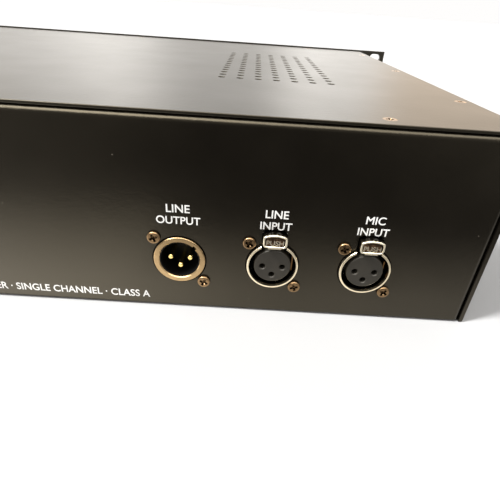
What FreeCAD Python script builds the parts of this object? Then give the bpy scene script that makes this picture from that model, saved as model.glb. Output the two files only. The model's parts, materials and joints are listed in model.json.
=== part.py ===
# A single-channel valve microphone preamplifier for a 19 inch rack, two rack units high.
#
# A folded steel tray makes the bottom and sides. A folded rear panel and a folded sub-panel stand between the
# sides, a flat cover closes the top, and a thick aluminium front panel carries the rack ears and the controls.
# The rear panel holds one male and two female three-pin audio connectors and the fused mains inlet. Inside are
# the circuit board with its two valves, the transformers and the wiring.
#
# Millimetres. +X is to the right of someone facing the front, +Y points to the rear and +Z is up. The origin is
# the middle of the underside of the whole object's box. "In" is a depth measured from the rear face forwards.

import FreeCAD
import Part
import math
import os

V = FreeCAD.Vector
ALONG_X = V(1, 0, 0)
ALONG_Y = V(0, 1, 0)
ALONG_Z = V(0, 0, 1)

# ---------------------------------------------------------------- driving dimensions
RACK_W = 482.6            # front panel, 19 inches
RACK_H = 88.1             # front panel, two rack units less clearance
RACK_T = 4.0
BODY_W = 431.8            # 17 inches
BODY_H = 87.0
BODY_D = 305.0
SHEET = 1.75              # tray, rear panel and sub-panel
COVER_T = 1.2
BEND_R = 2.7              # outside radius of the rear panel's and sub-panel's folds
TRAY_BEND_R = 0.9         # outside radius of the tray's folds
PANEL_FOOT_Z = 0.9        # the rear panel hangs behind the tray's floor, down to here
FLANGE = 12.0             # width of every flange
LEVEL_KNOB_OUT = 24.0     # how far the largest knob stands in front of the front panel
INLET_FLANGE_T = 2.1
LATCH_OUT = 3.8           # the input latches' tabs are the hindmost pieces
PAN_HEAD_H = 1.4          # height of the connectors' screw heads
SLIP = 0.05               # radial play of a screw in its hole
RUNNING = 0.075           # radial play of a turning shaft
COVER_HEAD_R = 2.75       # countersunk screws of the cover
COVER_SHANK_R = 1.5
SIDE_HEAD_R = 2.9
SIDE_CONE = 1.2
PANEL_HEAD_R = 3.5        # countersunk screws of the front panel
PANEL_CONE = 1.8
AUDIO_SHANK_R = 1.45      # screws of the connectors and the mains inlet

TOTAL_D = LEVEL_KNOB_OUT + RACK_T + BODY_D + LATCH_OUT
REAR_Y = TOTAL_D / 2 - LATCH_OUT                 # outside face of the rear panel
FRONT_Y = REAR_Y - BODY_D - RACK_T               # front face of the front panel
BODY_FRONT_Y = FRONT_Y + RACK_T                  # front of the tray, sub-panel and cover
SUB_BACK_Y = BODY_FRONT_Y + SHEET                # back of the sub-panel
HALF_W = BODY_W / 2
INNER_W = HALF_W - SHEET
DECK_Z = BODY_H - COVER_T                        # underside of the cover

# Rack slots, to the 19 inch standard
RACK_SLOT_X = 465.1 / 2
RACK_SLOT_DZ = 76.2
RACK_SLOT_W = 6.86
RACK_SLOT_L = 10.3

# Audio connectors, seen from behind: output on the left, then line input, then microphone input
AUDIO_Z = 25.2
MIC_IN_X = -HALF_W + 51.0
AUDIO_PITCH = 39.7
LINE_IN_X = MIC_IN_X + AUDIO_PITCH
LINE_OUT_X = LINE_IN_X + AUDIO_PITCH
RING_R = 11.0             # outside of the metal ring that comes through the panel
MALE_RING_OUT = 0.8       # how far each connector's ring stands out of the panel
FEMALE_RING_OUT = 1.6
AUDIO_HOLE_R = 11.6
AUDIO_SCREW = 10.4        # each screw's offset from the connector's axis, both ways
SHELL_D = 20.0
SHELL_FLANGE = 26.5
SHELL_FLANGE_T = 2.0
PIN_PAIR = 4.25           # contacts 1 and 2 are this far either side of the axis
PIN_PAIR_DZ = -0.26
PIN_THIRD_DZ = -4.29
PIN_R = 1.2
LINER_R = 8.5             # the output connector's insulator lines its shell
LINER_BORE_R = 8.1
LINER_D = 11.5            # from the panel in to the base that holds the pins
INSERT_R = 7.9
INSERT_OUT = 1.1          # how far the input connectors' inserts stand out of the panel
FEMALE_BORE_R = 10.1
SHELL_END = 3.0           # thickness of the input shells' closed end

# Push latch of a female connector
LATCH_W = 9.9
LATCH_Z0 = 10.6           # heights above the connector's axis
LATCH_Z1 = 16.6
LATCH_PIVOT_IN = 2.4
LATCH_PIVOT_DZ = 14.6
LATCH_PIN_R = 0.6
LATCH_BARREL_HALF = 3.2
HOOK_DROP = 1.2           # how far the latch's hook hangs below the tab, to hold a plug
LATCH_RIM = 0.75          # width of the raised rim round the tab
LATCH_HEADROOM = 0.6      # between the top of the tab and the roof of its housing

# Cover: vent holes and screws
VENT_COLUMNS = 7
VENT_ROWS = 14
VENT_PITCH = 9.6
VENT_R = 1.8
VENT_BEVEL = 0.25         # the coated edge of each vent hole
VENT_X0 = -HALF_W + 62.7  # nearest column to the side
VENT_IN = 82.2            # first row, from the rear
COVER_SCREW_X = HALF_W - 52.3
COVER_SCREW_IN = 8.2
SIDE_SCREW_INSET = 5.9
SIDE_SCREW_INS = (55.1, 159.8, 264.5)
SIDE_FIX_IN = 6.5         # screws through the side walls into the flanges of the rear panel and sub-panel
SIDE_FIX_Z = (18.0, 68.0)

# Mains inlet with fuse drawer
INLET_X = 158.0
INLET_Z = 40.0
INLET_FLANGE_W = 50.0
INLET_FLANGE_H = 34.0
INLET_BODY_W = 27.4
INLET_BODY_H = 31.4
INLET_SCREW_X = 20.0
CAVITY_W = 24.2
CAVITY_H = 16.4
CAVITY_D = 16.0
CAVITY_DZ = 5.2           # middle of the cavity, above the inlet's middle
DRAWER_W = 21.6
DRAWER_H = 6.6
DRAWER_D = 24.0
DRAWER_DZ = -10.2
FUSE_OFFSET = 5.0         # each fuse from the middle of the drawer

# Front controls: name, x, z, knob radius, knob height
CONTROL_Z = 43.0
ROTARIES = (
    ("input", -108.0, CONTROL_Z, 17.0, 17.0),
    ("gain", -38.0, CONTROL_Z, 17.0, 17.0),
    ("level", 38.0, CONTROL_Z + 1.0, 27.0, LEVEL_KNOB_OUT),
    ("low", 108.0, CONTROL_Z, 13.0, 15.0),
    ("high", 158.0, CONTROL_Z, 13.0, 15.0),
)
SWITCHED = ("input", "gain")
SHAFT_R = 3.175
BUSHING_R = 4.75
KNOB_GAP = 0.8            # between the front panel and the back of each knob
SHAFT_IN = 12.0           # how far each shaft runs behind the sub-panel
JACK_X = -196.0
JACK_Z = 30.0
JACK_R = 3.25
JACK_OUT = 3.6
JACK_BORE_D = 26.0
# Toggles: name, x, z, size factor
TOGGLES = (
    ("phantom", -162.0, 60.0, 1.0),
    ("polarity", -162.0, 26.0, 1.0),
    ("power", 197.0, 29.0, 1.4),
)
TOGGLE_TILT = 12.0        # each side of straight out, in degrees
TOGGLE_BUSHING_R = 3.1
TOGGLE_BUSHING_OUT = 5.0
TOGGLE_PIVOT_IN = 3.0     # behind the mouth of the bushing
TOGGLE_LUG_DZ = 4.7
LAMP_X = 197.0
LAMP_Z = 63.0
LAMP_BODY_R = 6.2
LAMP_LENS_R = 5.6
PANEL_SCREW_X = 210.0
PANEL_SCREW_Z = (10.0, RACK_H - 10.0)

# Inside
BOARD_Z = SHEET + 8.0
BOARD_T = 1.6
BOARD_X = (-206.0, -24.0)
BOARD_IN = (30.0, 236.0)
VALVE_X = VENT_X0 + VENT_PITCH * (VENT_COLUMNS - 1) / 2
VALVE_INS = (112.0, 178.0)
TOROID_X = 128.0
TOROID_IN = 160.0
TOROID_R = 52.0
TOROID_H = 44.0
TOROID_HOLE_R = 15.0
TOROID_PAD = 2.0
VALVE_BASE_Z = BOARD_Z + BOARD_T + 11.0
VALVE_R = 10.8
VALVE_GLASS_H = 44.0
VALVE_PIN_CIRCLE = 6.0


# ---------------------------------------------------------------- basic shapes
def box(x0, x1, y0, y1, z0, z1):
    return Part.makeBox(x1 - x0, y1 - y0, z1 - z0, V(x0, y0, z0))


def rod(radius, x, z, y0, y1):
    """A cylinder along Y."""
    return Part.makeCylinder(radius, y1 - y0, V(x, y0, z), ALONG_Y)


def post(radius, x, y, z0, z1):
    """A cylinder along Z."""
    return Part.makeCylinder(radius, z1 - z0, V(x, y, z0), ALONG_Z)


def joined(*shapes):
    return shapes[0].multiFuse(list(shapes[1:])).removeSplitter()


def less(shape, *tools):
    return shape.cut(list(tools))


def group(shapes):
    """Separate solids kept as one node."""
    return Part.makeCompound(list(shapes))


def straight_edges(shape, direction, keep=lambda middle: True):
    """The straight edges along a direction whose middle point passes the test."""
    found = []
    for edge in shape.Edges:
        if not isinstance(edge.Curve, Part.Line):
            continue
        along = abs(edge.Curve.Direction.dot(direction)) > 0.999
        if along and keep(edge.CenterOfMass):
            found.append(edge)
    return found


def round_edges(shape, radius, *edge_lists):
    edges = [edge for edges in edge_lists for edge in edges]
    return shape.makeFillet(radius, edges)


def circle_edges(shape, radius, keep=lambda middle: True):
    """The full circular edges of a radius whose middle point passes the test."""
    found = []
    for edge in shape.Edges:
        if not isinstance(edge.Curve, Part.Circle):
            continue
        if abs(edge.Curve.Radius - radius) < 1e-4 and keep(edge.CenterOfMass):
            found.append(edge)
    return found


def plate(x, z, width, height, corner, y0, y1):
    """A plate facing along Y, with rounded corners."""
    block = box(x - width / 2, x + width / 2, y0, y1, z - height / 2, z + height / 2)
    return round_edges(block, corner, straight_edges(block, ALONG_Y))


def hexagon(x, z, across_flats, y0, y1):
    """A hexagonal prism along Y."""
    corner_r = across_flats / math.sqrt(3)
    points = []
    for i in range(7):
        angle = math.radians(60 * i + 30)
        points.append(V(x + corner_r * math.cos(angle), y0, z + corner_r * math.sin(angle)))
    face = Part.Face(Part.makePolygon(points))
    return face.extrude(V(0, y1 - y0, 0))


def turned(profile, x, z):
    """A shape turned about an axis along Y. The profile is a closed list of (radius, y)."""
    points = [V(x + radius, y, z) for radius, y in profile]
    face = Part.Face(Part.makePolygon(points + [points[0]]))
    return face.revolve(V(x, 0, z), ALONG_Y, 360)


def moved(shape, x=0.0, y=0.0, z=0.0):
    copy = shape.copy()
    copy.translate(V(x, y, z))
    return copy


def turned_to(shape, centre, axis, degrees):
    copy = shape.copy()
    copy.rotate(centre, axis, degrees)
    return copy


# ---------------------------------------------------------------- screws
def cross_recess(width, depth):
    """The cutter for a cross recess at the origin, pointing down."""
    arm = width * 0.3
    slot = box(-width / 2, width / 2, -arm / 2, arm / 2, -depth * 0.75, 1.0)
    other = turned_to(slot, V(0, 0, 0), ALONG_Z, 90)
    centre = Part.makeCone(0.2, width * 0.3, depth, V(0, 0, -depth), ALONG_Z)
    return joined(slot, other, centre)


def flat_screw(head_r, shank_r, cone, length):
    """A countersunk screw, its head's face at the origin and its shank pointing down."""
    head = Part.makeCone(shank_r, head_r, cone, V(0, 0, -cone), ALONG_Z)
    shank = Part.makeCylinder(shank_r, length, V(0, 0, -length), ALONG_Z)
    return less(joined(head, shank), cross_recess(head_r * 1.1, 1.1))


def pan_screw(head_r, head_h, shank_r, length):
    """A pan-head screw, seated at the origin, its shank pointing down."""
    head = Part.makeCylinder(head_r, head_h, V(0, 0, 0), ALONG_Z)
    head = head.makeFillet(head_h * 0.55, circle_edges(head, head_r, lambda c: c.z > head_h / 2))
    shank = Part.makeCylinder(shank_r, length, V(0, 0, -length), ALONG_Z)
    recess = moved(cross_recess(head_r * 1.25, 1.5), z=head_h)
    return less(joined(head, shank), recess)


def facing_rear(shape, x, z, y, turn=0.0):
    """Puts a screw that points down so that it points forwards, into the rear panel."""
    spun = turned_to(shape, V(0, 0, 0), ALONG_Z, turn)
    return moved(turned_to(spun, V(0, 0, 0), ALONG_X, -90), x, y, z)


def facing_front(shape, x, z, y, turn=0.0):
    """Puts a screw that points down so that it points backwards, into the front panel."""
    spun = turned_to(shape, V(0, 0, 0), ALONG_Z, turn)
    return moved(turned_to(spun, V(0, 0, 0), ALONG_X, 90), x, y, z)


def cover_screw_places():
    """(x, y) of the screws through the cover."""
    rows = (REAR_Y - COVER_SCREW_IN, BODY_FRONT_Y + COVER_SCREW_IN)
    ends = [(x, y) for y in rows for x in (-COVER_SCREW_X, 0.0, COVER_SCREW_X)]
    inset = HALF_W - SIDE_SCREW_INSET
    sides = [(x, REAR_Y - depth) for depth in SIDE_SCREW_INS for x in (-inset, inset)]
    return ends + sides


def side_screw_places():
    """(side, y, z) of the screws through the side walls."""
    rows = (REAR_Y - SIDE_FIX_IN, BODY_FRONT_Y + SIDE_FIX_IN)
    return [(side, y, z) for side in (-1, 1) for y in rows for z in SIDE_FIX_Z]


# ---------------------------------------------------------------- enclosure
def chassis_tray():
    """Bottom and sides in one sheet, with a flange folded in along the top of each side."""
    tray = box(-HALF_W, HALF_W, BODY_FRONT_Y, REAR_Y, 0, DECK_Z)
    tray = round_edges(tray, TRAY_BEND_R, straight_edges(tray, ALONG_Y))
    inside = box(-INNER_W, INNER_W, BODY_FRONT_Y - 1, REAR_Y + 1, SHEET, DECK_Z - SHEET)
    opening = box(-HALF_W + FLANGE, HALF_W - FLANGE, BODY_FRONT_Y - 1, REAR_Y + 1, SHEET, DECK_Z + 1)
    relief = FLANGE + 0.6
    ends = []
    for y0, y1 in ((BODY_FRONT_Y - 1, BODY_FRONT_Y + relief), (REAR_Y - relief, REAR_Y + 1)):
        ends.append(box(-INNER_W, INNER_W, y0, y1, SHEET, DECK_Z + 1))
    ends.append(box(-INNER_W, INNER_W, REAR_Y - SHEET, REAR_Y + 1, -1, SHEET + 1))
    holes = [post(COVER_SHANK_R + SLIP, x, y, DECK_Z - 5, DECK_Z + 1) for x, y in cover_screw_places()]
    for side, y, z in side_screw_places():
        foot = V(side * (HALF_W - SIDE_CONE), y, z)
        cone = Part.makeCone(COVER_SHANK_R + SLIP, SIDE_HEAD_R, SIDE_CONE, foot, V(side, 0, 0))
        shank = Part.makeCylinder(COVER_SHANK_R + SLIP, 4, V(side * (HALF_W - 3), y, z), V(side, 0, 0))
        holes += [cone, shank]
    return less(tray, inside, opening, *ends, *holes)


def folded_panel(y_face, inward, z0):
    """A sheet standing between the sides, folded inwards on all four edges. inward is -1 or +1 along Y."""
    y0, y1 = sorted((y_face, y_face + inward * FLANGE))
    pan = box(-INNER_W, INNER_W, y0, y1, z0, DECK_Z)
    at_face = lambda c: abs(c.y - y_face) < 0.01
    pan = round_edges(
        pan, BEND_R, straight_edges(pan, ALONG_X, at_face), straight_edges(pan, ALONG_Z, at_face)
    )
    hollow_face = y_face + inward * SHEET
    h0, h1 = sorted((hollow_face, hollow_face + inward * FLANGE))
    hollow = box(-INNER_W + SHEET, INNER_W - SHEET, h0, h1, z0 + SHEET, DECK_Z - SHEET)
    n0, n1 = sorted((y_face + inward * (BEND_R + 0.4), y_face + inward * (FLANGE + 1)))
    notches = []
    notch = 2.6
    for x in (-INNER_W, INNER_W):
        for z in (z0, DECK_Z):
            notches.append(box(x - notch, x + notch, n0, n1, z - notch, z + notch))
    return less(pan, hollow, *notches)


def flange_holes(inward):
    """Threaded holes in a folded panel's top and side flanges."""
    holes = []
    for x, y in cover_screw_places():
        holes.append(post(COVER_SHANK_R + SLIP, x, y, DECK_Z - 5, DECK_Z + 1))
    for side, y, z in side_screw_places():
        start = V(side * (HALF_W - 6), y, z)
        holes.append(Part.makeCylinder(COVER_SHANK_R + SLIP, 6, start, V(side, 0, 0)))
    near = REAR_Y - FLANGE if inward < 0 else BODY_FRONT_Y
    return [hole for hole in holes if near - 1 < hole.BoundBox.Center.y < near + FLANGE + 1]


def rear_panel():
    """A panel with flanges at its top and sides, and a plain foot that hangs behind the tray's floor."""
    panel = folded_panel(REAR_Y, -1, -2 * BEND_R)
    y0, y1 = REAR_Y - SHEET - 1, REAR_Y + 1
    tools = flange_holes(-1)
    tools.append(box(-HALF_W, HALF_W, REAR_Y - FLANGE - 1, y1, -3 * BEND_R, PANEL_FOOT_Z))
    tools.append(box(-HALF_W, HALF_W, REAR_Y - FLANGE - 1, REAR_Y - SHEET, 0, SHEET))
    for x in (LINE_OUT_X, LINE_IN_X, MIC_IN_X):
        tools.append(rod(AUDIO_HOLE_R, x, AUDIO_Z, y0, y1))
        for sign in (-1, 1):
            place = (x + sign * AUDIO_SCREW, AUDIO_Z + sign * AUDIO_SCREW)
            tools.append(rod(AUDIO_SHANK_R + SLIP, *place, y0, y1))
    gap = 0.35
    top = AUDIO_Z + LATCH_Z1 + gap
    for x in (LINE_IN_X, MIC_IN_X):
        tools.append(plate(x, (AUDIO_Z + top) / 2, LATCH_W + 2 * gap, top - AUDIO_Z, 2.0, y0, y1))
    tools.append(box(
        INLET_X - INLET_BODY_W / 2 - 0.2, INLET_X + INLET_BODY_W / 2 + 0.2, y0, y1,
        INLET_Z - INLET_BODY_H / 2 - 0.2, INLET_Z + INLET_BODY_H / 2 + 0.2,
    ))
    for sign in (-1, 1):
        tools.append(rod(AUDIO_SHANK_R + SLIP, INLET_X + sign * INLET_SCREW_X, INLET_Z, y0, y1))
    return less(panel, *tools)


def control_holes(y0, y1):
    """Clearance for every control's bushing."""
    holes = [rod(BUSHING_R + 0.1, x, z, y0, y1) for _, x, z, _, _ in ROTARIES]
    holes += [rod(TOGGLE_BUSHING_R * size + 0.1, x, z, y0, y1) for _, x, z, size in TOGGLES]
    holes.append(rod(BUSHING_R + 0.1, JACK_X, JACK_Z, y0, y1))
    holes.append(rod(LAMP_BODY_R + 0.1, LAMP_X, LAMP_Z, y0, y1))
    return holes


def panel_screw_places():
    return [(x, z) for x in (-PANEL_SCREW_X, PANEL_SCREW_X) for z in PANEL_SCREW_Z]


def front_subpanel():
    panel = folded_panel(BODY_FRONT_Y, 1, SHEET)
    y0, y1 = BODY_FRONT_Y - 1, SUB_BACK_Y + 1
    shanks = [rod(COVER_SHANK_R + SLIP, x, z, y0, y1 + FLANGE) for x, z in panel_screw_places()]
    return less(panel, *flange_holes(1), *control_holes(y0, y1), *shanks)


def front_panel():
    """The thick plate with rack ears. Its edges are lightly bevelled all round the front."""
    face = box(-RACK_W / 2, RACK_W / 2, FRONT_Y, BODY_FRONT_Y, 0, RACK_H)
    in_front = lambda c: abs(c.y - FRONT_Y) < 0.01
    edges = straight_edges(face, ALONG_X, in_front) + straight_edges(face, ALONG_Z, in_front)
    face = face.makeChamfer(0.6, edges)
    y0, y1 = FRONT_Y - 1, BODY_FRONT_Y + 1
    tools = control_holes(y0, y1)
    for x in (-RACK_SLOT_X, RACK_SLOT_X):
        for dz in (-RACK_SLOT_DZ / 2, RACK_SLOT_DZ / 2):
            slot = plate(x, RACK_H / 2 + dz, RACK_SLOT_L, RACK_SLOT_W, RACK_SLOT_W / 2 - 0.001, y0, y1)
            tools.append(slot)
    for x, z in panel_screw_places():
        head_r = PANEL_HEAD_R + SLIP
        cone = Part.makeCone(head_r, COVER_SHANK_R + SLIP, PANEL_CONE, V(x, FRONT_Y, z), ALONG_Y)
        tools += [cone, rod(COVER_SHANK_R + SLIP, x, z, y0, y1)]
    return less(face, *tools)


def top_cover():
    """A flat sheet with the vent holes over the valves and a countersunk hole for every screw."""
    sheet = box(-HALF_W, HALF_W, BODY_FRONT_Y, REAR_Y, DECK_Z, BODY_H)
    sheet = sheet.makeFillet(0.3, straight_edges(sheet, ALONG_X) + straight_edges(sheet, ALONG_Y))
    tools = []
    for column in range(VENT_COLUMNS):
        for row in range(VENT_ROWS):
            x = VENT_X0 + column * VENT_PITCH
            y = REAR_Y - VENT_IN - row * VENT_PITCH
            tools.append(post(VENT_R, x, y, DECK_Z - 1, BODY_H + 1))
            start = V(x, y, BODY_H - VENT_BEVEL)
            tools.append(Part.makeCone(VENT_R, VENT_R + VENT_BEVEL, VENT_BEVEL, start, ALONG_Z))
    top_r = COVER_HEAD_R + SLIP
    foot_r = COVER_SHANK_R + SLIP
    for x, y in cover_screw_places():
        cone = Part.makeCone(foot_r, top_r, COVER_T, V(x, y, DECK_Z), ALONG_Z)
        tools.append(cone)
    return less(sheet, *tools)


def cover_screws():
    screw = flat_screw(COVER_HEAD_R, COVER_SHANK_R, COVER_T, 8.0)
    placed = []
    for i, (x, y) in enumerate(cover_screw_places()):
        spun = turned_to(screw, V(0, 0, 0), ALONG_Z, 37 * i)
        placed.append(moved(spun, x, y, BODY_H))
    return group(placed)


def chassis_screws():
    """The countersunk screws through the side walls and through the front panel."""
    short = flat_screw(SIDE_HEAD_R - SLIP, COVER_SHANK_R, SIDE_CONE, 7.0)
    long = flat_screw(PANEL_HEAD_R, COVER_SHANK_R, PANEL_CONE, 11.0)
    placed = []
    for i, (side, y, z) in enumerate(side_screw_places()):
        spun = turned_to(short, V(0, 0, 0), ALONG_Z, 29 * i)
        laid = turned_to(spun, V(0, 0, 0), ALONG_Y, 90 * side)
        placed.append(moved(laid, side * HALF_W, y, z))
    for i, (x, z) in enumerate(panel_screw_places()):
        placed.append(facing_front(long, x, z, FRONT_Y, 23 * i))
    return group(placed)


# ---------------------------------------------------------------- audio connectors
def contact_places(x):
    """(x, z) of a connector's three contacts."""
    pair = [(x - PIN_PAIR, AUDIO_Z + PIN_PAIR_DZ), (x + PIN_PAIR, AUDIO_Z + PIN_PAIR_DZ)]
    return pair + [(x, AUDIO_Z + PIN_THIRD_DZ)]


def shell_flange(x):
    """The square flange that lies against the back of the rear panel."""
    back = REAR_Y - SHEET - SHELL_FLANGE_T
    return plate(x, AUDIO_Z, SHELL_FLANGE, SHELL_FLANGE, 3.5, back, REAR_Y - SHEET)


def shell_screw_holes(x):
    holes = []
    for sign in (-1, 1):
        place = (x + sign * AUDIO_SCREW, AUDIO_Z + sign * AUDIO_SCREW)
        holes.append(rod(AUDIO_SHANK_R + SLIP, *place, REAR_Y - 12, REAR_Y))
    return holes


def keyway(x):
    """The groove that a plug's key slides in, up and to one side."""
    groove = box(x - 9.6, x, REAR_Y - 9, REAR_Y + 2, AUDIO_Z - 0.9, AUDIO_Z + 0.9)
    return turned_to(groove, V(x, 0, AUDIO_Z), ALONG_Y, 45)


def male_shell(x):
    """Metal shell of the output connector: a broad ring with a bevelled mouth and a keyway."""
    mouth_r, bore_r, bevel = 8.95, LINER_R + SLIP, 0.4
    barrel = rod(RING_R, x, AUDIO_Z, REAR_Y - SHELL_D, REAR_Y + MALE_RING_OUT)
    barrel = barrel.makeFillet(0.45, circle_edges(barrel, RING_R, lambda c: c.y > REAR_Y))
    bore = rod(bore_r, x, AUDIO_Z, REAR_Y - SHELL_D - 1, REAR_Y + 2)
    start = V(x, REAR_Y + MALE_RING_OUT - bevel, AUDIO_Z)
    mouth = Part.makeCone(bore_r, mouth_r, bevel, start, ALONG_Y)
    return less(joined(barrel, shell_flange(x)), bore, mouth, keyway(x), *shell_screw_holes(x))


def male_insert(x):
    """Insulating cup: a base that holds the three pins, and a wall that lines the shell."""
    cup = rod(LINER_R, x, AUDIO_Z, REAR_Y - SHELL_D - 1.5, REAR_Y)
    inside = rod(LINER_BORE_R, x, AUDIO_Z, REAR_Y - LINER_D, REAR_Y + 1)
    pins = [rod(PIN_R, px, pz, REAR_Y - 30, REAR_Y) for px, pz in contact_places(x)]
    return less(cup, inside, keyway(x), *pins)


def male_pins(x):
    pins = []
    for px, pz in contact_places(x):
        pin = rod(PIN_R, px, pz, REAR_Y - SHELL_D - 1.5, REAR_Y - 1.8)
        pin = pin.makeFillet(0.7, circle_edges(pin, PIN_R, lambda c: c.y > REAR_Y - 5))
        pins.append(joined(pin, rod(0.5, px, pz, REAR_Y - SHELL_D - 6, REAR_Y - SHELL_D - 1)))
    return group(pins)


def female_shell(x):
    """Metal shell of an input connector: a thin ring, open at the top where the latch comes through, and
    closed in round the insert at its far end."""
    y_in = REAR_Y - SHELL_D
    barrel = rod(RING_R, x, AUDIO_Z, y_in, REAR_Y + FEMALE_RING_OUT)
    barrel = barrel.makeFillet(0.45, circle_edges(barrel, RING_R, lambda c: c.y > REAR_Y))
    housing_top = AUDIO_Z + LATCH_Z1 + 1.8
    housing = box(x - 7.2, x + 7.2, REAR_Y - 14, REAR_Y - SHEET, AUDIO_Z, housing_top)
    bore = rod(FEMALE_BORE_R, x, AUDIO_Z, y_in + SHELL_END, REAR_Y + 2)
    seat = rod(INSERT_R + SLIP, x, AUDIO_Z, y_in - 1, REAR_Y)
    half = LATCH_W / 2 + 0.3
    cavity = box(x - half, x + half, REAR_Y - 12.5, REAR_Y + 2, AUDIO_Z, AUDIO_Z + LATCH_Z1 + LATCH_HEADROOM)
    pivot = V(x - 7.3, REAR_Y - LATCH_PIVOT_IN, AUDIO_Z + LATCH_PIVOT_DZ)
    pin_hole = Part.makeCylinder(LATCH_PIN_R, 14.6, pivot, ALONG_X)
    body = joined(barrel, housing, shell_flange(x))
    return less(body, bore, seat, cavity, pin_hole, *shell_screw_holes(x))


def female_insert(x):
    """Insulating core with three contact holes, held by the end of the shell."""
    core = rod(INSERT_R, x, AUDIO_Z, REAR_Y - SHELL_D - 1.5, REAR_Y + INSERT_OUT)
    core = core.makeFillet(0.7, circle_edges(core, INSERT_R, lambda c: c.y > REAR_Y))
    face_y = REAR_Y + INSERT_OUT
    mouth_r, bevel = 1.25, 0.35
    tools = []
    for px, pz in contact_places(x):
        tools.append(rod(mouth_r, px, pz, REAR_Y - 5, face_y + 1))
        tools.append(rod(1.8, px, pz, REAR_Y - 30, REAR_Y - 2))
        start = V(px, face_y - bevel, pz)
        tools.append(Part.makeCone(mouth_r, mouth_r + bevel, bevel, start, ALONG_Y))
    return less(core, *tools)


def female_contacts(x):
    """Sprung sockets inside the insert, each with a tail to the wiring, and the blade beside the insert that
    earths a plug's sleeve."""
    y_in = REAR_Y - SHELL_D
    contacts = []
    for px, pz in contact_places(x):
        tube = rod(1.8, px, pz, y_in, REAR_Y - 2)
        tube = less(tube, rod(1.22, px, pz, REAR_Y - 14, REAR_Y))
        contacts.append(joined(tube, rod(0.5, px, pz, y_in - 6, y_in + 1)))
    contacts.append(box(x - 8.8, x - 8.3, y_in + SHELL_END, REAR_Y - 2, AUDIO_Z - 3.5, AUDIO_Z + 3.8))
    return contacts


def tab_outline(x, inset, y0, y1):
    """The tab's barrel-like outline: bowed sides and an arched top, drawn in by an inset."""
    z0, z1 = AUDIO_Z + LATCH_Z0 + inset, AUDIO_Z + LATCH_Z1 - inset
    half = LATCH_W / 2 - inset
    slab = box(x - half, x + half, y0, y1, z0, z1)
    sides = rod(5.2 - inset, x, (z0 + z1) / 2, y0, y1)
    arch = rod(11.0 - inset, x, AUDIO_Z + LATCH_Z1 - 11.0, y0, y1)
    return slab.common(sides).common(arch)


def push_latch(x):
    """The lever that frees a plug. Its rimmed tab fills the top of the ring, its arm reaches in over the insert
    to the hook, and it turns on a pin behind the top of the tab."""
    z0, z1 = AUDIO_Z + LATCH_Z0, AUDIO_Z + LATCH_Z1
    out = REAR_Y + LATCH_OUT
    back = REAR_Y - 0.9
    tab = tab_outline(x, 0.0, back, out)
    corners = straight_edges(tab, ALONG_Y, lambda c: abs(c.z - (z0 + z1) / 2) > 2.2)
    tab = tab.makeFillet(0.7, corners)
    tab = less(tab, tab_outline(x, LATCH_RIM, out - 0.8, out + 1))
    y_pivot, z_pivot = REAR_Y - LATCH_PIVOT_IN, AUDIO_Z + LATCH_PIVOT_DZ
    half = LATCH_BARREL_HALF
    barrel = Part.makeCylinder(1.5, 2 * half, V(x - half, y_pivot, z_pivot), ALONG_X)
    web = box(x - half, x + half, y_pivot, REAR_Y, z_pivot - 1.2, z_pivot + 1.2)
    arm = box(x - 2.6, x + 2.6, REAR_Y - 9.5, REAR_Y, z0 + 0.35, z0 + 1.3)
    hook = box(x - 2.6, x + 2.6, REAR_Y - 9.5, REAR_Y - 8.3, z0 - HOOK_DROP, z0 + 1.3)
    lip = box(x - 2.7, x + 2.7, out - 1.6, out, z0 - 0.6, z0 + 0.8)
    pin = Part.makeCylinder(LATCH_PIN_R + RUNNING, 12, V(x - 6, y_pivot, z_pivot), ALONG_X)
    return less(joined(tab, barrel, web, arm, hook, lip), pin)


def latch_pins():
    pins = []
    for x in (LINE_IN_X, MIC_IN_X):
        start = V(x - 7.2, REAR_Y - LATCH_PIVOT_IN, AUDIO_Z + LATCH_PIVOT_DZ)
        pins.append(Part.makeCylinder(LATCH_PIN_R, 14.4, start, ALONG_X))
    return group(pins)


def latch_springs():
    """Leaf springs over the latches' arms: a strip under the roof of the housing, and a blade folded back and
    down from it, drawn as it is when the latch is pushed."""
    springs = []
    thick, half = 0.3, 2.2
    for x in (LINE_IN_X, MIC_IN_X):
        roof = AUDIO_Z + LATCH_Z1 + LATCH_HEADROOM
        y_fold = REAR_Y - 5.0
        strip = box(x - half, x + half, REAR_Y - 11.5, y_fold, roof - thick, roof)
        blade_shape = box(x - half, x + half, y_fold - 6.0, y_fold, roof - thick, roof)
        blade_shape = turned_to(blade_shape, V(x, y_fold, roof - thick / 2), ALONG_X, 42)
        bend = Part.makeCylinder(thick / 2, 2 * half, V(x - half, y_fold, roof - thick / 2), ALONG_X)
        springs.append(joined(strip, blade_shape, bend))
    return group(springs)


def connector_screws():
    screw = pan_screw(2.8, PAN_HEAD_H, AUDIO_SHANK_R, 8.0)
    placed = []
    for i, x in enumerate((LINE_OUT_X, LINE_IN_X, MIC_IN_X)):
        for sign in (-1, 1):
            place = (x + sign * AUDIO_SCREW, AUDIO_Z + sign * AUDIO_SCREW)
            placed.append(facing_rear(screw, *place, REAR_Y, 41 * i + 25 * sign))
    return group(placed)


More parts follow.
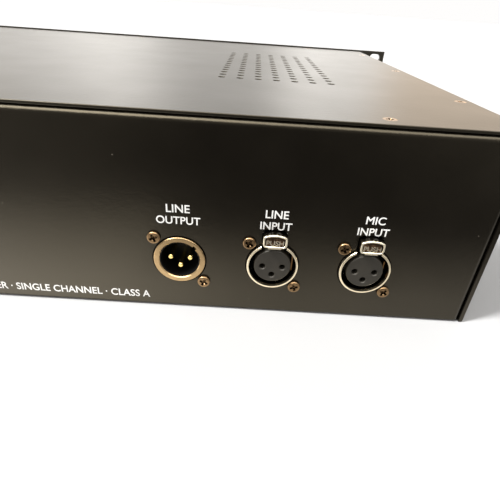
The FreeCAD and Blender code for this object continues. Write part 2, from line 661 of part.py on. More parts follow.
# ---------------------------------------------------------------- mains side of the rear panel
def mains_inlet():
    """Inlet for a three-pole mains lead, with the fuse drawer's slot under the cavity."""
    back = REAR_Y - 30
    flange = plate(INLET_X, INLET_Z, INLET_FLANGE_W, INLET_FLANGE_H, 2.5, REAR_Y, REAR_Y + INLET_FLANGE_T)
    front = [edge for edge in flange.Edges if abs(edge.CenterOfMass.y - REAR_Y - INLET_FLANGE_T) < 0.01]
    flange = flange.makeFillet(0.5, front)
    body = box(
        INLET_X - INLET_BODY_W / 2, INLET_X + INLET_BODY_W / 2, back, REAR_Y + 0.5,
        INLET_Z - INLET_BODY_H / 2, INLET_Z + INLET_BODY_H / 2,
    )
    z_cavity = INLET_Z + CAVITY_DZ
    cavity = box(
        INLET_X - CAVITY_W / 2, INLET_X + CAVITY_W / 2, REAR_Y - CAVITY_D, REAR_Y + 3,
        z_cavity - CAVITY_H / 2, z_cavity + CAVITY_H / 2,
    )
    cavity = cavity.makeChamfer(4.2, straight_edges(cavity, ALONG_Y, lambda c: c.z > z_cavity))
    cavity = cavity.makeFillet(1.2, straight_edges(cavity, ALONG_Y, lambda c: c.z < z_cavity - 7))
    z_drawer = INLET_Z + DRAWER_DZ
    slot = box(
        INLET_X - DRAWER_W / 2 - 0.2, INLET_X + DRAWER_W / 2 + 0.2, REAR_Y - DRAWER_D - 1, REAR_Y + 3,
        z_drawer - DRAWER_H / 2 - 0.2, z_drawer + DRAWER_H / 2 + 0.2,
    )
    holes = [blade(x, z) for x, z in blade_places()]
    for sign in (-1, 1):
        x = INLET_X + sign * INLET_SCREW_X
        start = V(x, REAR_Y + INLET_FLANGE_T - 1.5, INLET_Z)
        holes.append(Part.makeCone(AUDIO_SHANK_R + SLIP, 3.0, 1.5, start, ALONG_Y))
        holes.append(rod(AUDIO_SHANK_R + SLIP, x, INLET_Z, REAR_Y - 1, REAR_Y + 3))
    return less(joined(flange, body), cavity, slot, *holes)


def blade_places():
    """Line and neutral either side, earth above the middle."""
    z = INLET_Z + CAVITY_DZ
    return ((INLET_X - 7.0, z - 2.0), (INLET_X + 7.0, z - 2.0), (INLET_X, z + 2.0))


def blade(x, z):
    return box(x - 1, x + 1, REAR_Y - 36, REAR_Y - 2, z - 2, z + 2)


def mains_inlet_blades():
    blades = []
    for x, z in blade_places():
        shape = blade(x, z)
        tip = straight_edges(shape, ALONG_Z, lambda c: c.y > REAR_Y - 3)
        blades.append(shape.makeChamfer(0.6, tip))
    return group(blades)


def fuse_drawer():
    """The drawer that holds the fuse in use and a spare, with a lip to pull it by."""
    z = INLET_Z + DRAWER_DZ
    front_y = REAR_Y + INLET_FLANGE_T
    drawer = box(
        INLET_X - DRAWER_W / 2, INLET_X + DRAWER_W / 2, REAR_Y - DRAWER_D, front_y,
        z - DRAWER_H / 2, z + DRAWER_H / 2,
    )
    troughs = []
    for x in (INLET_X - FUSE_OFFSET, INLET_X + FUSE_OFFSET):
        troughs.append(box(x - 2.8, x + 2.8, REAR_Y - 22.5, REAR_Y - 1.5, z - 2.6, z + 4))
    grip = box(INLET_X - 4, INLET_X + 4, front_y - 1.2, front_y + 1, z - 1.0, z + 4)
    return less(drawer, *troughs, grip)


def mains_fuses():
    """Two 5 x 20 mm cartridge fuses: a glass body with a metal cap on each end."""
    z = INLET_Z + DRAWER_DZ
    fuses = []
    for x in (INLET_X - FUSE_OFFSET, INLET_X + FUSE_OFFSET):
        body = rod(2.2, x, z, REAR_Y - 22, REAR_Y - 2)
        caps = [rod(2.5, x, z, REAR_Y - 22, REAR_Y - 17), rod(2.5, x, z, REAR_Y - 7, REAR_Y - 2)]
        fuses.append(joined(body, *caps))
    return group(fuses)


def mains_screws():
    screw = flat_screw(SIDE_HEAD_R - SLIP, AUDIO_SHANK_R, 1.5, 8.0)
    placed = []
    for i, x in enumerate((INLET_X - INLET_SCREW_X, INLET_X + INLET_SCREW_X)):
        placed.append(facing_rear(screw, x, INLET_Z, REAR_Y + INLET_FLANGE_T, 31 * i))
    return group(placed)


# ---------------------------------------------------------------- front controls
def knob(x, z, radius, height):
    """A skirted, fluted knob. A groove across the skirt and up the front marks its pointer."""
    back = FRONT_Y - KNOB_GAP
    front = FRONT_Y - height
    skirt_t = 3.0
    grip_r = radius * 0.74
    top_r = radius * 0.68
    skirt = rod(radius, x, z, back - skirt_t, back)
    skirt = skirt.makeFillet(1.2, circle_edges(skirt, radius, lambda c: c.y < back - 1))
    start = V(x, back - skirt_t, z)
    grip = Part.makeCone(grip_r, top_r, back - skirt_t - front, start, V(0, -1, 0))
    grip = grip.makeFillet(1.0, circle_edges(grip, top_r))
    flutes = []
    count = max(18, 2 * round(grip_r * 0.7))
    for i in range(count):
        angle = math.radians(90 + 360 * (i + 0.5) / count)
        fx, fz = x + grip_r * 1.03 * math.cos(angle), z + grip_r * 1.03 * math.sin(angle)
        flutes.append(rod(grip_r * 0.085, fx, fz, front - 1, back - skirt_t - 0.4))
    groove = 0.55
    top_line = box(x - 0.6, x + 0.6, front - 1, front + groove, z + top_r * 0.45, z + grip_r + 1)
    skirt_line = box(
        x - 0.6, x + 0.6, back - skirt_t - 1, back - skirt_t + groove, z + grip_r - 0.5, z + radius + 1
    )
    dish = rod(top_r * 0.72, x, z, front - 1, front + 0.5)
    cavity = rod(8.4, x, z, back - 5.0, back + 1)
    bore = rod(SHAFT_R, x, z, front + 3.0, back)
    screw_hole = post(1.5, x, back - skirt_t - 2.6, z - radius, z)
    body = joined(skirt, grip)
    return less(body, *flutes, top_line, skirt_line, dish, cavity, bore, screw_hole)


def shaft(x, z, height):
    return rod(SHAFT_R, x, z, FRONT_Y - height + 3.0, SUB_BACK_Y + SHAFT_IN)


def bushing(x, z, radius, out):
    """The threaded neck that holds a control in both panels."""
    return rod(radius, x, z, FRONT_Y - out, SUB_BACK_Y + 0.5)


def shaft_bore(x, z):
    return rod(SHAFT_R + RUNNING, x, z, FRONT_Y - 10, SUB_BACK_Y + SHAFT_IN + 0.2)


def rotary_switch(x, z):
    """A stepped switch: an index housing, and a wafer with twelve contacts behind it."""
    can = rod(15.0, x, z, SUB_BACK_Y, SUB_BACK_Y + 14)
    core = rod(6.0, x, z, SUB_BACK_Y + 13, SUB_BACK_Y + 20)
    wafer_r = 17.5
    wafer = rod(wafer_r, x, z, SUB_BACK_Y + 17, SUB_BACK_Y + 18.6)
    spacers = [rod(2.0, x + side * 12, z, SUB_BACK_Y + 13, SUB_BACK_Y + 20) for side in (-1, 1)]
    lugs = []
    for i in range(12):
        angle = math.radians(30 * i)
        place = (x + wafer_r * math.cos(angle), z + wafer_r * math.sin(angle))
        lugs.append(rod(0.7, *place, SUB_BACK_Y + 16, SUB_BACK_Y + 21))
    neck = bushing(x, z, BUSHING_R, 4.4)
    return less(joined(neck, can, core, wafer, *spacers, *lugs), shaft_bore(x, z))


def potentiometer(x, z):
    can = rod(12.0, x, z, SUB_BACK_Y, SUB_BACK_Y + 14)
    can = can.makeFillet(1.0, circle_edges(can, 12.0, lambda c: c.y > SUB_BACK_Y + 1))
    strip = box(x - 8, x + 8, SUB_BACK_Y + 2, SUB_BACK_Y + 4, z - 17, z)
    lugs = []
    for lug_x in (x - 5.5, x, x + 5.5):
        lugs.append(box(lug_x - 0.8, lug_x + 0.8, SUB_BACK_Y + 2.6, SUB_BACK_Y + 3.4, z - 22, z - 16))
    neck = bushing(x, z, BUSHING_R, 4.4)
    return less(joined(neck, can, strip, *lugs), shaft_bore(x, z))


def toggle_body(x, z, size):
    out = TOGGLE_BUSHING_OUT * size
    neck = bushing(x, z, TOGGLE_BUSHING_R * size, out)
    back = SUB_BACK_Y + 10 * size
    block = plate(x, z, 8 * size, 13 * size, 0.6, SUB_BACK_Y, back)
    lugs = []
    for lug_z in (z - TOGGLE_LUG_DZ * size, z, z + TOGGLE_LUG_DZ * size):
        lugs.append(box(x - 1, x + 1, back - size, back + 5, lug_z - 0.4, lug_z + 0.4))
    bore = rod(2.5 * size, x, z, FRONT_Y - out - 1, FRONT_Y - out + 6.5 * size)
    return less(joined(neck, block, *lugs), bore)


def toggle_pivot(size):
    return FRONT_Y - TOGGLE_BUSHING_OUT * size + TOGGLE_PIVOT_IN * size


def toggle_lever(x, z, size):
    """A bat-shaped lever on a ball, stored tilted down."""
    y = toggle_pivot(size)
    ball = Part.makeSphere(2.35 * size, V(x, y, z))
    neck_r, tip_r, reach = 1.15 * size, 2.3 * size, 12.5 * size
    neck = rod(neck_r, x, z, y - 4.5 * size, y)
    bat = Part.makeCone(neck_r, tip_r, reach - 4.5 * size, V(x, y - 4.5 * size, z), V(0, -1, 0))
    tip = Part.makeSphere(tip_r, V(x, y - reach, z))
    lever = joined(ball, neck, bat, tip)
    return turned_to(lever, V(x, y, z), ALONG_X, TOGGLE_TILT)


def bushing_nuts():
    """The hexagonal nuts on every control's bushing and on the jack."""
    def nut(x, z, bore_r, across_flats, thick):
        shape = hexagon(x, z, across_flats, FRONT_Y - thick, FRONT_Y)
        return less(shape, rod(bore_r, x, z, FRONT_Y - thick - 1, FRONT_Y + 1))

    nuts = [nut(x, z, BUSHING_R, 12.7, 2.2) for _, x, z, _, _ in ROTARIES]
    nuts += [nut(x, z, TOGGLE_BUSHING_R * size, 8.0 * size, 1.8) for _, x, z, size in TOGGLES]
    nuts.append(nut(JACK_X, JACK_Z, BUSHING_R, 14.0, 2.4))
    return group(nuts)


def instrument_jack():
    """A quarter-inch socket."""
    neck = bushing(JACK_X, JACK_Z, BUSHING_R, JACK_OUT)
    body = plate(JACK_X, JACK_Z, 15.0, 15.0, 1.0, SUB_BACK_Y, SUB_BACK_Y + 22)
    bore = rod(JACK_R, JACK_X, JACK_Z, FRONT_Y - JACK_OUT - 1, FRONT_Y - JACK_OUT + JACK_BORE_D)
    lugs = []
    for lug_x in (JACK_X - 4, JACK_X, JACK_X + 4):
        lugs.append(box(lug_x - 1, lug_x + 1, SUB_BACK_Y + 10, SUB_BACK_Y + 11, JACK_Z + 7, JACK_Z + 12))
    return less(joined(neck, body, *lugs), bore)


def pilot_bezel():
    """The pilot lamp's holder: a flanged ring in front and a tube behind."""
    ring = turned(
        ((LAMP_LENS_R, FRONT_Y), (LAMP_LENS_R, FRONT_Y - 3.4), (6.6, FRONT_Y - 3.8), (7.6, FRONT_Y - 2.4),
         (9.0, FRONT_Y - 1.0), (9.0, FRONT_Y)),
        LAMP_X, LAMP_Z,
    )
    tube = rod(LAMP_BODY_R, LAMP_X, LAMP_Z, FRONT_Y - 1.0, SUB_BACK_Y + 16)
    hollow = rod(LAMP_LENS_R, LAMP_X, LAMP_Z, FRONT_Y - 5, SUB_BACK_Y + 14)
    return less(joined(ring, tube), hollow)


def pilot_lens():
    """A faceted jewel that stands out of the bezel."""
    base = rod(LAMP_LENS_R - 0.05, LAMP_X, LAMP_Z, FRONT_Y - 3.0, FRONT_Y + 4)
    dome = Part.makeSphere(7.2, V(LAMP_X, FRONT_Y + 1.2, LAMP_Z))
    dome = dome.common(rod(LAMP_LENS_R - 0.05, LAMP_X, LAMP_Z, FRONT_Y - 8, FRONT_Y - 2.9))
    lens = joined(base, dome)
    facets = []
    for i in range(8):
        facet = box(LAMP_X - 6, LAMP_X + 6, FRONT_Y - 9, FRONT_Y - 5.4, LAMP_Z - 6, LAMP_Z + 6)
        tilted = turned_to(facet, V(LAMP_X, FRONT_Y - 5.4, LAMP_Z), ALONG_X, 24)
        lifted = moved(tilted, z=2.2, y=0.35)
        facets.append(turned_to(lifted, V(LAMP_X, FRONT_Y, LAMP_Z), ALONG_Y, 45 * i))
    return less(lens, *facets)


# ---------------------------------------------------------------- inside
def standoff_places():
    inset = 6.0
    xs = (BOARD_X[0] + inset, sum(BOARD_X) / 2, BOARD_X[1] - inset)
    ys = (REAR_Y - BOARD_IN[0] - inset, REAR_Y - BOARD_IN[1] + inset)
    return [(x, y) for x in xs for y in ys]


def main_board():
    board = box(*BOARD_X, REAR_Y - BOARD_IN[1], REAR_Y - BOARD_IN[0], BOARD_Z, BOARD_Z + BOARD_T)
    board = round_edges(board, 2.0, straight_edges(board, ALONG_Z))
    return less(board, *[post(1.6, x, y, BOARD_Z - 1, BOARD_Z + 3) for x, y in standoff_places()])


def board_standoffs():
    """Hexagonal spacers under the board, each with the screw that holds the board down."""
    spacer = hexagon(0, 0, 6.0, 0, BOARD_Z - SHEET)
    upright = turned_to(spacer, V(0, 0, 0), ALONG_X, 90)
    screw = pan_screw(2.8, 2.0, 1.55, BOARD_T)
    pieces = []
    for x, y in standoff_places():
        pieces.append(moved(upright, x, y, SHEET))
        pieces.append(moved(screw, x, y, BOARD_Z + BOARD_T))
    return group(pieces)


def valve_places():
    return [(VALVE_X, REAR_Y - depth) for depth in VALVE_INS]


def on_circle(x, y, radius, count):
    """Evenly spaced places round a point, seen from above."""
    places = []
    for i in range(count):
        angle = 2 * math.pi * (i + 0.5) / (count + 1)
        places.append((x + radius * math.cos(angle), y + radius * math.sin(angle)))
    return places


def valve_sockets():
    """Nine-pin ceramic sockets standing on the board."""
    sockets = []
    for x, y in valve_places():
        base = post(11.5, x, y, BOARD_Z + BOARD_T, VALVE_BASE_Z)
        holes = [post(2.0, x, y, BOARD_Z, VALVE_BASE_Z + 1)]
        for px, py in on_circle(x, y, VALVE_PIN_CIRCLE, 9):
            holes.append(post(0.75, px, py, VALVE_BASE_Z - 7, VALVE_BASE_Z + 1))
        sockets.append(less(base, *holes))
    return group(sockets)


def valves():
    """Miniature double triodes: a glass envelope with a drawn-out tip, on nine pins."""
    made = []
    for x, y in valve_places():
        envelope = post(VALVE_R, x, y, VALVE_BASE_Z, VALVE_BASE_Z + VALVE_GLASS_H)
        envelope = envelope.makeFillet(5.0, circle_edges(envelope, VALVE_R, lambda c: c.z > VALVE_BASE_Z + 1))
        tip = Part.makeCone(2.6, 0.6, 5.0, V(x, y, VALVE_BASE_Z + VALVE_GLASS_H - 0.5), ALONG_Z)
        pins = []
        for px, py in on_circle(x, y, VALVE_PIN_CIRCLE, 9):
            pins.append(post(0.5, px, py, VALVE_BASE_Z - 6.5, VALVE_BASE_Z + 1))
        made.append(joined(envelope, tip, *pins))
    return group(made)


def power_transformer():
    """A toroidal winding."""
    y = REAR_Y - TOROID_IN
    z0 = SHEET + TOROID_PAD
    z1 = z0 + TOROID_H
    ring = less(post(TOROID_R, TOROID_X, y, z0, z1), post(TOROID_HOLE_R, TOROID_X, y, z0 - 1, z1 + 1))
    ring = ring.makeFillet(9.0, circle_edges(ring, TOROID_R))
    return ring.makeFillet(4.0, circle_edges(ring, TOROID_HOLE_R))


def transformer_clamp():
    """What holds the winding to the bottom: a pad under it, a plate over it, and a bolt through the middle."""
    y = REAR_Y - TOROID_IN
    z0 = SHEET + TOROID_PAD
    z1 = z0 + TOROID_H
    pad = less(post(40.0, TOROID_X, y, SHEET, z0), post(4.0, TOROID_X, y, 0, z0 + 1))
    top = less(post(30.0, TOROID_X, y, z1, z1 + 1.6), post(3.1, TOROID_X, y, z1 - 1, z1 + 3))
    bolt = joined(post(3.0, TOROID_X, y, SHEET, z1 + 6), post(5.0, TOROID_X, y, z1 + 1.6, z1 + 5))
    return group((pad, top, bolt))


def audio_transformers():
    """Screened input and output transformers, in round cans on the board."""
    cans = []
    for x, depth, radius, height in ((-186.0, 74.0, 16.0, 38.0), (-56.0, 74.0, 20.0, 46.0)):
        z0 = BOARD_Z + BOARD_T
        can = post(radius, x, REAR_Y - depth, z0, z0 + height)
        can = can.makeFillet(1.5, circle_edges(can, radius, lambda c: c.z > z0 + 1))
        cans.append(can)
    return group(cans)


def filter_capacitors():
    cans = []
    z0 = BOARD_Z + BOARD_T
    x = -48.0
    for i in range(4):
        y = REAR_Y - 116 - 30 * i
        can = post(12.0, x, y, z0, z0 + 40)
        can = can.makeFillet(1.0, circle_edges(can, 12.0, lambda c: c.z > z0 + 1))
        groove = less(post(13, x, y, z0 + 36, z0 + 37), post(11.4, x, y, z0 + 35, z0 + 38))
        cans.append(less(can, groove))
    return group(cans)


def regulator_heat_sink():
    """A finned aluminium extrusion standing on the bottom, for the heater supply's regulator."""
    x0, y0 = 8.0, REAR_Y - 78
    base = box(x0, x0 + 60, y0, y0 + 4, SHEET, SHEET + 38)
    fins = [box(x0 + 1 + 7 * i, x0 + 3 + 7 * i, y0 + 3, y0 + 24, SHEET, SHEET + 38) for i in range(9)]
    device = box(x0 + 22, x0 + 38, y0 - 4.5, y0, SHEET + 10, SHEET + 26)
    return group((joined(base, *fins), device))


def wire(points, radius, bend):
    """A round wire along straight runs joined by tangent arcs."""
    places = [V(*p) for p in points]
    edges = []
    start = places[0]
    for before, corner, after in zip(places, places[1:], places[2:]):
        into = (corner - before).normalize()
        away = (after - corner).normalize()
        half_turn = into.getAngle(away) / 2
        setback = bend * math.tan(half_turn)
        arc_start = corner - into * setback
        arc_end = corner + away * setback
        towards = (away - into).normalize()
        centre = corner + towards * (bend / math.cos(half_turn))
        middle = centre - towards * bend
        edges.append(Part.LineSegment(start, arc_start).toShape())
        edges.append(Part.Arc(arc_start, middle, arc_end).toShape())
        start = arc_end
    edges.append(Part.LineSegment(start, places[-1]).toShape())
    path = Part.Wire(edges)
    direction = (places[1] - places[0]).normalize()
    section = Part.Wire([Part.makeCircle(radius, places[0], direction)])
    return path.makePipeShell([section], True, False)


def mains_wiring():
    """Leads from the inlet to the power switch, from the switch to the transformer, and from there to the
    board."""
    _, switch_x, switch_z, size = TOGGLES[2]
    lug_dz = TOGGLE_LUG_DZ * size
    behind = SUB_BACK_Y + 10 * size + 5.2
    radius = 1.6
    runs = []
    lug_heights = (switch_z + lug_dz, switch_z)
    for (x, z), turn_in, side, lug_z in zip(blade_places(), (60, 54), (194.0, 200.0), lug_heights):
        turn_y = REAR_Y - turn_in
        runs.append(wire((
            (x, REAR_Y - 36.2, z), (x, turn_y, z), (side, turn_y, z), (side, behind + 38, z),
            (switch_x, behind + 14, lug_z), (switch_x, behind, lug_z),
        ), radius, 6.0))
    toroid_y = REAR_Y - TOROID_IN
    z = SHEET + TOROID_PAD + TOROID_H / 2
    reach = TOROID_R + 0.5
    entry = (TOROID_X + reach * math.cos(math.radians(50)), toroid_y - reach * math.sin(math.radians(50)))
    low_z = switch_z - lug_dz
    runs.append(wire((
        (switch_x, behind, low_z), (switch_x, behind + 12, low_z), (entry[0] + 9, entry[1] - 11, z), (*entry, z),
    ), radius, 6.0))
    board_x = BOARD_X[1] - 8
    for dy in (-3, 3):
        runs.append(wire((
            (TOROID_X - reach, toroid_y + dy, z), (board_x, toroid_y + dy, z),
            (board_x, toroid_y + dy, BOARD_Z + BOARD_T),
        ), radius, 6.0))
    return group(runs)


def audio_wiring():
    """A lead from each contact of the audio connectors down to the board."""
    runs = []
    for x in (MIC_IN_X, LINE_IN_X, LINE_OUT_X):
        for i, (px, pz) in enumerate(contact_places(x)):
            turn_y = REAR_Y - (46 if i < 2 else 40)
            runs.append(wire((
                (px, REAR_Y - SHELL_D - 6.2, pz), (px, turn_y, pz), (px, turn_y, BOARD_Z + BOARD_T),
            ), 0.8, 4.0))
    return group(runs)


# ---------------------------------------------------------------- the nodes
def parts():
    """Every node's name and shape."""
    nodes = {
        "chassis_tray": chassis_tray(),
        "rear_panel": rear_panel(),
        "front_subpanel": front_subpanel(),
        "front_panel": front_panel(),
        "top_cover": top_cover(),
        "cover_screws": cover_screws(),
        "chassis_screws": chassis_screws(),
        "line_output_shell": male_shell(LINE_OUT_X),
        "line_output_insert": male_insert(LINE_OUT_X),
        "line_output_pins": male_pins(LINE_OUT_X),
        "connector_screws": connector_screws(),
        "latch_pins": latch_pins(),
        "latch_springs": latch_springs(),
        "input_contacts": group(female_contacts(LINE_IN_X) + female_contacts(MIC_IN_X)),
        "mains_inlet": mains_inlet(),
        "mains_inlet_blades": mains_inlet_blades(),
        "mains_screws": mains_screws(),
        "fuse_drawer": fuse_drawer(),
        "mains_fuses": mains_fuses(),
        "bushing_nuts": bushing_nuts(),
        "instrument_jack": instrument_jack(),
        "pilot_bezel": pilot_bezel(),
        "pilot_lens": pilot_lens(),
        "main_board": main_board(),
        "board_standoffs": board_standoffs(),
        "valve_sockets": valve_sockets(),
        "valves": valves(),
        "power_transformer": power_transformer(),
        "transformer_clamp": transformer_clamp(),
        "audio_transformers": audio_transformers(),
        "filter_capacitors": filter_capacitors(),
        "regulator_heat_sink": regulator_heat_sink(),
        "mains_wiring": mains_wiring(),
        "audio_wiring": audio_wiring(),
    }
    for name, x in (("line_input", LINE_IN_X), ("mic_input", MIC_IN_X)):
        nodes[name + "_shell"] = female_shell(x)
        nodes[name + "_insert"] = female_insert(x)
        nodes[name + "_latch"] = push_latch(x)
    for name, x, z, radius, height in ROTARIES:
        nodes[name + "_knob"] = knob(x, z, radius, height)
        nodes[name + "_shaft"] = shaft(x, z, height)
        if name in SWITCHED:
            nodes[name + "_switch"] = rotary_switch(x, z)
    level, low, high = [potentiometer(x, z) for name, x, z, _, _ in ROTARIES if name not in SWITCHED]
    nodes["level_potentiometer"] = level
    nodes["tone_potentiometers"] = group((low, high))
    for name, x, z, size in TOGGLES:
        nodes[name + "_switch_body"] = toggle_body(x, z, size)
        nodes[name + "_switch_lever"] = toggle_lever(x, z, size)
    return nodes


def main():
    os.makedirs("parts", exist_ok=True)
    for name, shape in sorted(parts().items()):
        shape.exportStep(os.path.join("parts", name + ".step"))
        volume = sum(solid.Volume for solid in shape.Solids)
        print(f"{name}: {len(shape.Solids)} solids, {volume / 1000:.2f} cm3, valid {shape.isValid()}")


main()
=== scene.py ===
import json
import math

import bmesh
import bpy
from mathutils import Matrix, Vector


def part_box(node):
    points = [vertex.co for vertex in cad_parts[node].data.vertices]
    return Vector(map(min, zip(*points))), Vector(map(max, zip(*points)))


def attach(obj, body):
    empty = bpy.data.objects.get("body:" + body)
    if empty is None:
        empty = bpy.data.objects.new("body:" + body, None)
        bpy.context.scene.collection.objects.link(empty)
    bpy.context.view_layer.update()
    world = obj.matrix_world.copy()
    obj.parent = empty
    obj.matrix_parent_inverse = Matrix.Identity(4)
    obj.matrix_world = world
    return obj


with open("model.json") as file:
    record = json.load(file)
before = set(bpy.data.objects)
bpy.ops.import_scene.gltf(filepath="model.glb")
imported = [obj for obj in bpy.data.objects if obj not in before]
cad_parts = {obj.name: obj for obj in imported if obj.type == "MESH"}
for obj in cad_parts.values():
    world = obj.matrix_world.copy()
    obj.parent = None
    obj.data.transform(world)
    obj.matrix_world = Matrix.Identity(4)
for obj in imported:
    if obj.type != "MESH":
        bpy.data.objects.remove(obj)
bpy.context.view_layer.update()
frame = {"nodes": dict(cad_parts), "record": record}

# The looks of a rack-mount valve microphone preamp: a material for every CAD node, printed lettering and
# dial scales, the rims and raised words of the latches' tabs, and soft studio light. Everything is in metres,
# in the CAD frame: +X to the right of someone facing the front, +Y to the rear, +Z up.

MM = 0.001
NODES = frame["nodes"]


# ---------------------------------------------------------------- places taken from the CAD
def middle(node):
    """The centre of a node's box."""
    low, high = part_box(node)
    return (low + high) / 2


REAR_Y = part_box("rear_panel")[1].y
FRONT_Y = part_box("front_panel")[0].y
SIDE_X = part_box("top_cover")[1].x
LATCH_REAR_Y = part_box("mic_input_latch")[1].y


# ---------------------------------------------------------------- camera
FOCAL_PX = 403.283
IMAGE_PX = 500.0
SENSOR_MM = 36.0
NEAREST_SEEN = 5 * MM
YAW, PITCH, ROLL = -0.018, 0.544, 0.070
CAMERA_FROM_SIDE = 103.24 * MM     # from the side nearer the microphone input
CAMERA_BEHIND = 144.97 * MM
CAMERA_HEIGHT = 119.72 * MM


def make_camera():
    """A camera behind the unit, looking down at its rear panel."""
    cy, sy = math.cos(YAW), math.sin(YAW)
    cp, sp = math.cos(PITCH), math.sin(PITCH)
    cr, sr = math.cos(ROLL), math.sin(ROLL)
    # The picture's right, down and away, for a camera that looks straight at the rear panel.
    straight = Matrix(((-1, 0, 0), (0, 0, -1), (0, -1, 0)))
    turn = Matrix(((cy, 0, sy), (0, 1, 0), (-sy, 0, cy)))
    tilt = Matrix(((1, 0, 0), (0, cp, -sp), (0, sp, cp)))
    roll = Matrix(((cr, -sr, 0), (sr, cr, 0), (0, 0, 1)))
    # A camera's own axes are right, up and back.
    flip = Matrix(((1, 0, 0), (0, -1, 0), (0, 0, -1)))
    rotation = (flip @ roll @ tilt @ turn @ straight).transposed()
    data = bpy.data.cameras.new("camera")
    data.sensor_width = SENSOR_MM
    data.lens = FOCAL_PX / IMAGE_PX * SENSOR_MM
    data.clip_start = NEAREST_SEEN
    camera = bpy.data.objects.new("camera", data)
    place = Vector((-SIDE_X + CAMERA_FROM_SIDE, REAR_Y + CAMERA_BEHIND, CAMERA_HEIGHT))
    camera.matrix_world = Matrix.Translation(place) @ rotation.to_4x4()
    bpy.context.scene.collection.objects.link(camera)
    bpy.context.scene.camera = camera


# ---------------------------------------------------------------- material building
NOISE_RANGE = (0.3, 0.7)     # where nearly all of a noise pattern's values lie
SPECK_CHANCE = 0.14
# Painted shade for narrow hollows: its colour, and how sharply it gathers in them.
HOLLOW_SHADE_COLOR = (0.004, 0.003, 0.002)
HOLLOW_SHADE_SHARPNESS = 2.5
GAP_EDGE = 0.2 * MM


class Look:
    """A node material under construction. Its steps can be chained."""

    def __init__(self, name, color, roughness, metallic=0.0, **sockets):
        self.material = bpy.data.materials.new(name)
        self.material.use_nodes = True
        self.tree = self.material.node_tree
        self.shader = self.tree.nodes["Principled BSDF"]
        self.feed((*color, 1), self.shader.inputs["Base Color"])
        self.feed(roughness, self.shader.inputs["Roughness"])
        self.feed(metallic, self.shader.inputs["Metallic"])
        for socket, value in sockets.items():
            self.feed(value, self.shader.inputs[socket.replace("_", " ")])
        self.color = color
        self.roughness = roughness
        self.tint = None
        self.normal = None
        self.place = self.node("ShaderNodeTexCoord").outputs["Object"]

    def node(self, kind, **values):
        """A new node with some of its inputs or settings given."""
        node = self.tree.nodes.new(kind)
        for key, value in values.items():
            if key in node.inputs:
                node.inputs[key].default_value = value
            else:
                setattr(node, key, value)
        return node

    def feed(self, value, socket):
        """Gives a socket a fixed value, or the output of another node."""
        if isinstance(value, bpy.types.NodeSocket):
            self.tree.links.new(value, socket)
        else:
            socket.default_value = value

    def noise(self, scale, detail, stretch=None):
        """The value of a noise pattern, stretched by a factor along each axis if asked."""
        node = self.node("ShaderNodeTexNoise", Scale=scale, Detail=detail)
        place = self.place
        if stretch:
            mapping = self.node("ShaderNodeMapping", Scale=stretch)
            self.feed(place, mapping.inputs["Vector"])
            place = mapping.outputs["Vector"]
        self.feed(place, node.inputs["Vector"])
        return node.outputs["Fac"]

    def remap(self, value, low, high, start, end):
        """A value that runs from start to end while another runs from low to high."""
        node = self.node("ShaderNodeMapRange")
        for key, number in (("From Min", low), ("From Max", high), ("To Min", start), ("To Max", end)):
            self.feed(number, node.inputs[key])
        self.feed(value, node.inputs["Value"])
        return node.outputs["Result"]

    def math(self, operation, first, second):
        """The result of an operation on two values."""
        node = self.node("ShaderNodeMath", operation=operation)
        self.feed(first, node.inputs[0])
        self.feed(second, node.inputs[1])
        return node.outputs["Value"]

    def blend(self, factor, first, second):
        """Makes the base colour a blend of two."""
        mix = self.node("ShaderNodeMix", data_type="RGBA")
        self.feed(factor, mix.inputs["Factor"])
        self.feed(first, mix.inputs["A"])
        self.feed(second, mix.inputs["B"])
        self.tint = mix.outputs["Result"]
        self.feed(self.tint, self.shader.inputs["Base Color"])
        return self

    def mottle(self, scale, low, high):
        """Varies the base colour between two multiples of itself."""
        dark = [channel * low for channel in self.color]
        light = [min(1.0, channel * high) for channel in self.color]
        pattern = self.remap(self.noise(scale, 4.0), *NOISE_RANGE, 0.0, 1.0)
        return self.blend(pattern, (*dark, 1), (*light, 1))

    def specks(self, scale, size, color):
        """Scatters small spots, such as dust, over the colour."""
        cells = self.node("ShaderNodeTexVoronoi", Scale=scale)
        self.feed(self.place, cells.inputs["Vector"])
        spot = self.remap(cells.outputs["Distance"], size * 0.6, size, 1.0, 0.0)
        split = self.node("ShaderNodeSeparateColor")
        self.feed(cells.outputs["Color"], split.inputs["Color"])
        chosen = self.math("GREATER_THAN", split.outputs["Red"], 1 - SPECK_CHANCE)
        return self.blend(self.math("MULTIPLY", spot, chosen), self.tint, (*color, 1))

    def darkened_before(self, y, color):
        """Paints shade in front of a plane across Y: the colour turns to another there, standing in for the
        shade in a deep gap.
        """
        split = self.node("ShaderNodeSeparateXYZ")
        self.feed(self.place, split.inputs["Vector"])
        depth = self.remap(split.outputs["Y"], y - GAP_EDGE, y, 1.0, 0.0)
        return self.blend(depth, self.tint, (*color, 1))

    def grime(self, reach):
        """Paints shade into narrow hollows, such as the recess of a screw: the colour darkens where ambient
        occlusion finds them.
        """
        hollow = self.node("ShaderNodeAmbientOcclusion", Distance=reach, samples=8)
        self.feed(self.tint, hollow.inputs["Color"])
        openness = self.math("POWER", hollow.outputs["AO"], HOLLOW_SHADE_SHARPNESS)
        return self.blend(openness, (*HOLLOW_SHADE_COLOR, 1), self.tint)

    def uneven(self, scale, spread):
        """Varies the roughness by a little either side."""
        low, high = self.roughness - spread, self.roughness + spread
        pattern = self.remap(self.noise(scale, 4.0), *NOISE_RANGE, low, high)
        self.feed(pattern, self.shader.inputs["Roughness"])
        return self

    def grain(self, scale, height, strength, stretch=None):
        """Fine bumps, such as the texture of powder coat, or lines if stretched."""
        node = self.node("ShaderNodeBump", Strength=strength, Distance=height)
        self.feed(self.noise(scale, 2.0, stretch), node.inputs["Height"])
        if self.normal:
            self.feed(self.normal, node.inputs["Normal"])
        self.normal = node.outputs["Normal"]
        self.feed(self.normal, self.shader.inputs["Normal"])
        return self


